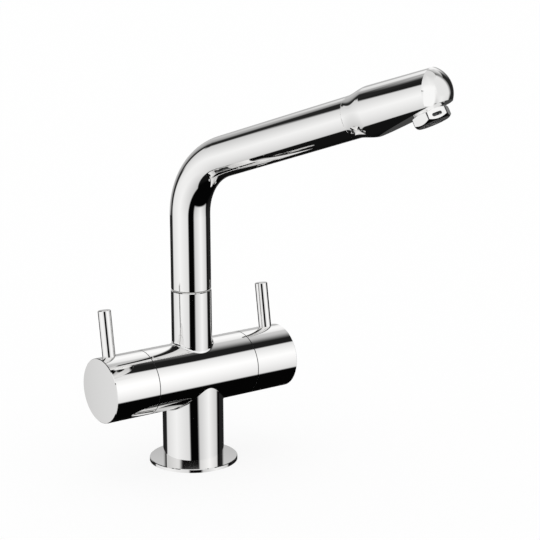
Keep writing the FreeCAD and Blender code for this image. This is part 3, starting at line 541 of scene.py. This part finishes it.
def spout_head():
    """The head turned, rounded, cut flat and bored, with true mirror directions all over its skin."""
    flare = [SEAM_BREAK + (FLARE_LENGTH - SEAM_BREAK) * step / FLARE_STEPS for step in range(FLARE_STEPS + 1)]
    past_tip = TIP_LENGTH + CUT_OVER
    skin = [(head_outline(along)[0], along) for along in flare + [past_tip]]
    head = turned_solid("spout_head", [(0, 0), (SEAM_RADIUS - SEAM_BREAK, 0)] + skin + [(0, past_tip)],
                        Matrix.Identity(4))
    quarter = [math.pi / 2 * step / BALL_STEPS for step in range(BALL_STEPS + 1)]
    ball = [(BALL_RADIUS * math.sin(turn), BALL_RADIUS * math.cos(turn)) for turn in quarter]
    ball[0] = (0, BALL_RADIUS)
    wide = BALL_RADIUS + CUT_OVER
    rounding = turned_solid("rounding", ball + [(wide, 0), (wide, wide + CUT_OVER), (0, wide + CUT_OVER)],
                            Matrix.Translation(BALL_CENTRE))
    level = turned_solid("level", [(0, 0), (CUT_REACH, 0), (CUT_REACH, CUT_OVER), (0, CUT_OVER)],
                         flat_frame @ Matrix.Rotation(math.pi, 4, "X"))
    bore = turned_solid("bore", [
        (0, -CUT_OVER), (SLEEVE_BORE[0], -CUT_OVER), SLEEVE_BORE, (WATER_BORE[0], SLEEVE_BORE[1]), WATER_BORE,
        (0, WATER_BORE[1])], Matrix.Identity(4))
    seat = turned_solid("seat", [
        (0, -SEAT_BORE[1]), (SEAT_BORE[0], -SEAT_BORE[1]), (SEAT_BORE[0], CUT_OVER), (0, CUT_OVER)],
        flat_frame)
    cut_away(head, rounding, level, bore, seat)
    normals = []
    for face in head.data.polygons:
        for corner in face.loop_indices:
            spot = head.data.vertices[head.data.loops[corner].vertex_index].co
            normals.append(head_frame.to_3x3() @ head_normal(face.center, spot, face.normal))
    head.data.transform(head_frame)
    head.data.shade_smooth()
    head.data.normals_split_custom_set(normals)
    return head


head = spout_head()
head.data.materials.append(chrome)
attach(head, "spout")
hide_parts("nozzle_head")


# Aerator: chromed hexagonal housing screwed up into the flat of the head, with air slots in alternate facets.
# It holds a rubber seal, a wire screen and a grey plastic insert that splits the water into jets.
OUTLET_PLACE = (0, -0.298472, 0.132609)
EDGE_ROUND = 0.0007
EDGE_STEPS = 6
# Dark chrome for the rounded upright edges: a painted dark reflection line along each edge.
EDGE_PAINTED_REFLECTION_COLOUR = (0.09, 0.09, 0.093, 1.0)
EDGE_TURN = math.radians(50)
SAME_PLACE = 0.000001
SAME_PLANE = math.radians(0.5)
SAME_WAY = 0.999
SHARP_TURN = math.radians(20)
SLOT_TURNS = (114, -6, -126)
SLOT_LENGTH = 0.0065
SLOT_HEIGHT = 0.0022
SLOT_MIDDLE = 0.0034
SLOT_REACH = (0.0068, 0.0125)
SLOT_STEPS = 32
INSERT_FOOT = 0.0008
INSERT_SIZES = {"Radius": 0.00745, "Length": 0.0122, "Wall": 0.0012, "Recess": 0.0018, "Rib": 0.0005}
INSERT_SIDES = 96
INSERT_COLOUR = (0.1, 0.1, 0.104, 1.0)
SPOKE_BARS = 6
RIB_DEPTH = 0.8
RIB_LEVEL = 0.6
RIB_SPAN = 2.02
RING_SHARES = (0.34, 0.68)
outlet_frame = (Matrix.Rotation(SPOUT_SWING, 4, "Z") @ Matrix.Rotation(-SPOUT_RISE - FLAT_SLOPE, 4, "X")
                @ Matrix.Translation(OUTLET_PLACE))


def slot_cutter():
    """The three air slots as solid bars with round ends."""
    shape = bmesh.new()
    for turn in SLOT_TURNS:
        rows = []
        for reach in SLOT_REACH:
            row = []
            for step in range(SLOT_STEPS):
                angle = 2 * math.pi * (step + 0.5) / SLOT_STEPS
                side = math.copysign((SLOT_LENGTH - SLOT_HEIGHT) / 2, math.cos(angle))
                across = side + math.cos(angle) * SLOT_HEIGHT / 2
                height = SLOT_MIDDLE + math.sin(angle) * SLOT_HEIGHT / 2
                spot = Matrix.Rotation(math.radians(turn), 4, "Z") @ Vector((reach, across, height))
                row.append(shape.verts.new(outlet_frame @ spot))
            shape.faces.new(row)
            rows.append(row)
        for step in range(SLOT_STEPS):
            after = (step + 1) % SLOT_STEPS
            shape.faces.new((rows[0][step], rows[0][after], rows[1][after], rows[1][step]))
    return keep_shape("slot_cutter", shape)


def rounded_housing():
    """The housing's own solid with its six upright edges rounded; the rounds take a dark chrome that is a
    painted dark reflection line.
    """
    source = nodes["aerator_housing"].data
    mesh = bpy.data.meshes.new("aerator_body")
    mesh.from_pydata([vert.co for vert in source.vertices], [], [face.vertices for face in source.polygons])
    shape = bmesh.new()
    shape.from_mesh(mesh)
    bmesh.ops.remove_doubles(shape, verts=shape.verts, dist=SAME_PLACE)
    bmesh.ops.dissolve_limit(shape, angle_limit=SAME_PLANE, verts=shape.verts, edges=shape.edges)
    axis = outlet_frame.to_3x3() @ Vector((0, 0, 1))
    upright = []
    for edge in shape.edges:
        along = (edge.verts[0].co - edge.verts[1].co).normalized()
        if abs(along.dot(axis)) > SAME_WAY and edge.calc_face_angle(0) > EDGE_TURN:
            upright.append(edge)
    # The rounds take the second material, the dark chrome with its painted dark reflection.
    bmesh.ops.bevel(shape, geom=upright, offset=EDGE_ROUND, offset_type="OFFSET", segments=EDGE_STEPS,
                    profile=0.5, affect="EDGES", material=1)
    shape.to_mesh(mesh)
    shape.free()
    mesh.materials.append(chrome)
    # Second material: near-black chrome that paints a dark reflection line on the rounded edges.
    mesh.materials.append(polished("chrome_edge_painted_reflection", EDGE_PAINTED_REFLECTION_COLOUR))
    return mesh


body = add_object("aerator_body", rounded_housing())
cut_away(body, slot_cutter())
body.data.shade_smooth()
body.data.set_sharp_from_angle(angle=SHARP_TURN)
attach(body, "spout")
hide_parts("aerator_housing")
dress(rubber, "aerator_seal")
dress(steel, "aerator_screen")


def jet_insert():
    """A round plug with a shallow recess below, divided by spokes and rings into jets."""
    tree, given, put = new_rule("jet_insert", *INSERT_SIZES)
    plug = bar(tree, given["Radius"], 0.0, given["Length"], INSERT_SIDES)
    inner = reckon(tree, "SUBTRACT", given["Radius"], given["Wall"])
    pocket = place(tree, "GeometryNodeMeshCylinder", {
        "Vertices": INSERT_SIDES, "Radius": inner, "Depth": reckon(tree, "MULTIPLY", given["Recess"], 2.0)})
    shell = place(tree, "GeometryNodeMeshBoolean", {
        "Mesh 1": plug, "Mesh 2": pocket.outputs[0]}, operation="DIFFERENCE").outputs[0]
    depth = reckon(tree, "MULTIPLY", given["Recess"], RIB_DEPTH)
    level = reckon(tree, "MULTIPLY", given["Recess"], RIB_LEVEL)
    size = place(tree, "CombineXYZ", {
        "X": reckon(tree, "MULTIPLY", inner, RIB_SPAN), "Y": given["Rib"], "Z": depth}).outputs[0]
    spoke = place(tree, "GeometryNodeMeshCube", {"Size": size}).outputs[0]
    spots = place(tree, "GeometryNodeMeshLine", {"Count": SPOKE_BARS, "Offset": (0, 0, 0)}).outputs[0]
    count = place(tree, "GeometryNodeInputIndex").outputs[0]
    turn = place(tree, "CombineXYZ", {"Z": reckon(tree, "MULTIPLY", count, math.pi / SPOKE_BARS)}).outputs[0]
    spokes = place(tree, "GeometryNodeInstanceOnPoints", {
        "Points": spots, "Instance": spoke, "Rotation": turn}).outputs[0]
    shapes = [shell, lift(tree, spokes, level)]
    for share in RING_SHARES:
        path = place(tree, "GeometryNodeCurvePrimitiveCircle", {
            "Resolution": 64, "Radius": reckon(tree, "MULTIPLY", inner, share)}).outputs[0]
        profile = place(tree, "GeometryNodeCurvePrimitiveQuadrilateral", {
            "Width": given["Rib"], "Height": depth}).outputs[0]
        ring = place(tree, "GeometryNodeCurveToMesh", {"Curve": path, "Profile Curve": profile}).outputs[0]
        shapes.append(lift(tree, ring, level))
    return end_rule(tree, given, put, *shapes)


insert_grey = moulded("insert_plastic", INSERT_COLOUR, **FINE_GRAIN)
insert = make_piece("aerator_jets", jet_insert(), insert_grey,
                    outlet_frame @ Matrix.Translation((0, 0, INSERT_FOOT)), **INSERT_SIZES)
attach(insert, "spout")
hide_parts("aerator_insert")


# Floor: plain white sheet that runs out of sight, with a faint shadow of the tap.
# Mirror metal shows the studio panels below instead of the sheet, as in the photograph.
FLOOR_REACH = 12.0
FLOOR_SHADE = 0.2
mesh = bpy.data.meshes.new("floor")
mesh.from_pydata([(x, y, 0) for x, y in ((-1, -1), (1, -1), (1, 1), (-1, 1))], [], [(0, 1, 2, 3)])
mesh.transform(Matrix.Scale(FLOOR_REACH, 4))
floor = add_object("floor", mesh)
floor.visible_glossy = False
material, tree, shader = new_material(
    "white_sheet", Base_Color=(FLOOR_SHADE, FLOOR_SHADE, FLOOR_SHADE, 1), Roughness=1.0,
    Specular_IOR_Level=0.0, Emission_Color=(1, 1, 1, 1))
ray = place(tree, "LightPath").outputs
glow = reckon(tree, "MULTIPLY", ray["Is Camera Ray"], 1 - FLOOR_SHADE)
tree.links.new(glow, shader.inputs["Emission Strength"])
mesh.materials.append(material)


# Studio light: white panels round the tap, given by the way they face and how high they reach.
# Azimuth is in degrees from the camera, positive to the right; heights are degrees above level.
CAMERA_BEARING = math.radians(33.54)
SOFT_LIGHT = 0.98
DARK_LEVEL = 0.0015
PANELS = {
    "room_above": {"Facing": 0, "Half Width": 200, "Side Blur": 1, "Bottom": 20, "Top": 95, "Edge Blur": 6,
                   "Level": 0.0145},
    "room_behind": {"Facing": -176.5, "Half Width": 69, "Side Blur": 5, "Bottom": -26.5, "Top": 95,
                    "Edge Blur": 17, "Level": 0.02},
    "table": {"Facing": -105, "Half Width": 87, "Side Blur": 20, "Bottom": -89, "Top": -36, "Edge Blur": 1,
              "Level": 0.0065},
    "left": {"Facing": -65, "Half Width": 53.5, "Side Blur": 3.5, "Bottom": -56.5, "Top": 22, "Tilt": -0.165,
             "Edge Blur": 1.5, "Level": 1.09, "Side Fade": 0.004, "Height Fade": 0.006, "Brightest": -4.8},
    "left_high": {"Facing": -110, "Half Width": 14.5, "Side Blur": 2, "Bottom": 6, "Top": 25,
                  "Edge Blur": 2.5, "Level": 0.74},
    "left_low": {"Facing": -127.5, "Half Width": 34, "Side Blur": 9.8, "Bottom": -51, "Top": -20.5,
                 "Tilt": 0.105, "Edge Blur": 0.5, "Level": 0.8, "Side Fade": 0.005, "Height Fade": 0.0035,
                 "Brightest": -7.5},
    "right": {"Facing": 61.5, "Half Width": 40, "Side Blur": 4.4, "Bottom": -32, "Top": 48, "Tilt": -0.22,
              "Edge Blur": 2.2, "Level": 1.22, "Side Fade": 0.009, "Height Fade": 0.0065, "Brightest": 13.6},
    "front": {"Facing": 13, "Half Width": 68, "Side Blur": 1.8, "Bottom": 20, "Top": 95, "Edge Blur": 0.5,
              "Level": 1.09, "Side Fade": 0.002, "Height Fade": 0.004, "Brightest": 23},
    "top": {"Facing": 0, "Half Width": 200, "Side Blur": 1, "Bottom": 61, "Top": 95, "Edge Blur": 2.2,
            "Level": 0.78},
    "back_left": {"Facing": 177, "Half Width": 32, "Side Blur": 12.9, "Bottom": 20.5, "Top": 46.5,
                  "Tilt": 0.068, "Edge Blur": 14.8, "Level": 1.15, "Height Fade": 0.0155, "Brightest": 35},
    "back_right": {"Facing": 173, "Half Width": 50.5, "Side Blur": 21.6, "Bottom": 37, "Top": 62,
                   "Tilt": 0.06, "Edge Blur": 1.8, "Level": 0.84, "Height Fade": 0.0133, "Brightest": 38},
    "back_middle": {"Facing": 176, "Half Width": 28.5, "Side Blur": 12.2, "Bottom": 18.5, "Top": 52,
                    "Tilt": -0.18, "Edge Blur": 4.8, "Level": 1.12, "Side Fade": 0.005, "Height Fade": 0.0078,
                    "Brightest": 36.5},
    "back_low": {"Facing": 172, "Half Width": 14, "Side Blur": 6, "Bottom": -29, "Top": -11, "Edge Blur": 4,
                 "Level": 0.062},
    "back_level": {"Facing": 174, "Half Width": 16, "Side Blur": 12, "Bottom": -11, "Top": 36.1, "Tilt": 0.12,
                   "Edge Blur": 1, "Level": 0.56},
    "back_level_left": {"Facing": -165, "Half Width": 27.5, "Side Blur": 7, "Bottom": -11, "Top": 38.7,
                        "Tilt": 0.12, "Edge Blur": 1, "Level": 0.6, "Side Fade": 0.0095},
}


def studio_panel():
    """Light from one panel in a direction, soft at its edges and fading from its brightest line."""
    tree, given, put = new_group("studio_panel", {
        "Azimuth": 0.0, "Elevation": 0.0, "Facing": 0.0, "Half Width": 30.0, "Side Blur": 2.0,
        "Bottom": -20.0, "Top": 40.0, "Tilt": 0.0, "Edge Blur": 2.0, "Level": 1.0, "Side Fade": 0.0,
        "Height Fade": 0.0, "Brightest": 0.0}, ("Light",))

    def step(value, edge, blur, rising):
        """A soft step in a value at an edge."""
        return place(tree, "MapRange", {
            "Value": value, "From Min": reckon(tree, "SUBTRACT", edge, blur),
            "From Max": reckon(tree, "ADD", edge, blur), "To Min": 1.0 - rising, "To Max": float(rising)},
            interpolation_type="SMOOTHSTEP").outputs["Result"]

    turn = reckon(tree, "WRAP", reckon(tree, "SUBTRACT", given["Azimuth"], given["Facing"]), 180.0, -180.0)
    across = reckon(tree, "ABSOLUTE", turn)
    top = reckon(tree, "ADD", given["Top"], reckon(tree, "MULTIPLY", turn, given["Tilt"]))
    height = reckon(tree, "ABSOLUTE", reckon(tree, "SUBTRACT", given["Elevation"], given["Brightest"]))
    light = given["Level"]
    for distance, rate in ((across, given["Side Fade"]), (height, given["Height Fade"])):
        light = reckon(tree, "SUBTRACT", light, reckon(tree, "MULTIPLY", distance, rate))
    light = reckon(tree, "MAXIMUM", light, 0.0)
    for mask in (step(across, given["Half Width"], given["Side Blur"], 0),
                 step(given["Elevation"], given["Bottom"], given["Edge Blur"], 1),
                 step(given["Elevation"], top, given["Edge Blur"], 0)):
        light = reckon(tree, "MULTIPLY", light, mask)
    tree.links.new(light, put["Light"])
    return tree


panel_group = studio_panel()
world = bpy.data.worlds.new("studio")
world.use_nodes = True
world.cycles.sampling_method = "NONE"
bpy.context.scene.world = world
tree = world.node_tree
way = place(tree, "TexCoord").outputs["Generated"]
turned = place(tree, "VectorRotate", {"Vector": way, "Angle": CAMERA_BEARING}, rotation_type="Z_AXIS")
split = place(tree, "SeparateXYZ", {"Vector": turned.outputs["Vector"]}).outputs
towards = reckon(tree, "MULTIPLY", split["Y"], -1.0)
azimuth = reckon(tree, "DEGREES", reckon(tree, "ARCTAN2", split["X"], towards))
elevation = reckon(tree, "DEGREES", reckon(tree, "ARCSINE", split["Z"]))
studio = DARK_LEVEL
for sizes in PANELS.values():
    panel = place(tree, "Group", {"Azimuth": azimuth, "Elevation": elevation, **sizes}, node_tree=panel_group)
    studio = reckon(tree, "MAXIMUM", panel.outputs["Light"], studio)
ray = place(tree, "LightPath").outputs
mirror = place(tree, "Mix", {"Factor": ray["Is Glossy Ray"], "A": SOFT_LIGHT, "B": studio}).outputs[0]
strength = place(tree, "Mix", {"Factor": ray["Is Camera Ray"], "A": mirror, "B": 1.0}).outputs[0]
tree.links.new(strength, tree.nodes["Background"].inputs["Strength"])
tree.nodes["Background"].inputs["Color"].default_value = (1, 1, 1, 1)


# Fill cards: two small white boards with soft edges beside the spout's end, out of the camera's sight.
# The ball end mirrors them instead of the dark gaps between the large panels.
# Each is given by its reach across, towards the camera and in height, in the studio's directions.
FILL_CARDS = {
    "front_card": {"across": (0.1, 0.212), "ahead": (0.223, 0.223), "height": (0.155, 0.365), "level": 1.08},
    "side_card": {"across": (0.2, 0.2), "ahead": (0.21, 0.114), "height": (0.25, 0.4), "level": 0.9},
}
CARD_STEPS = (0, 0.18, 0.82, 1)


def fill_card(name, across, ahead, height, level):
    """A white board that glows in its middle and thins out to nothing at its edges."""
    spots = []
    cover = []
    for up in CARD_STEPS:
        for side in CARD_STEPS:
            spots.append((across[0] + (across[1] - across[0]) * side,
                          -ahead[0] - (ahead[1] - ahead[0]) * side,
                          height[0] + (height[1] - height[0]) * up))
            cover.append(float(0 < side < 1 and 0 < up < 1))
    wide = len(CARD_STEPS)
    faces = [(row * wide + step, row * wide + step + 1, (row + 1) * wide + step + 1, (row + 1) * wide + step)
             for row in range(wide - 1) for step in range(wide - 1)]
    mesh = bpy.data.meshes.new(name)
    mesh.from_pydata(spots, [], faces)
    mesh.transform(Matrix.Rotation(-CAMERA_BEARING, 4, "Z"))
    mesh.attributes.new("cover", "FLOAT", "POINT").data.foreach_set("value", cover)
    material, tree, shader = new_material(
        name, Base_Color=(0, 0, 0, 1), Roughness=1.0, Specular_IOR_Level=0.0,
        Emission_Color=(1, 1, 1, 1), Emission_Strength=level)
    share = place(tree, "Attribute", attribute_name="cover")
    tree.links.new(share.outputs["Fac"], shader.inputs["Alpha"])
    mesh.materials.append(material)
    card = add_object(name, mesh)
    card.visible_camera = False
    card.visible_diffuse = False
    card.visible_shadow = False
    card.visible_transmission = False


for name, sizes in FILL_CARDS.items():
    fill_card(name, **sizes)


# Camera: a long lens that looks slightly down at the tap from its front left.
# Its place, turn and lens were fitted to the tap's outline in the photograph.
CAMERA_PLACE = (-0.667241, -1.006652, 0.423332)
CAMERA_TURN = (76.6803, 0.2654, -36.2140)
CAMERA_LENS = 118.778
CAMERA_SENSOR = 36.0
lens = bpy.data.cameras.new("camera")
lens.lens = CAMERA_LENS
lens.sensor_width = CAMERA_SENSOR
camera = add_object("camera", lens)
camera.location = CAMERA_PLACE
camera.rotation_euler = [math.radians(angle) for angle in CAMERA_TURN]
bpy.context.scene.camera = camera
bpy.context.scene.view_settings.view_transform = "Standard"
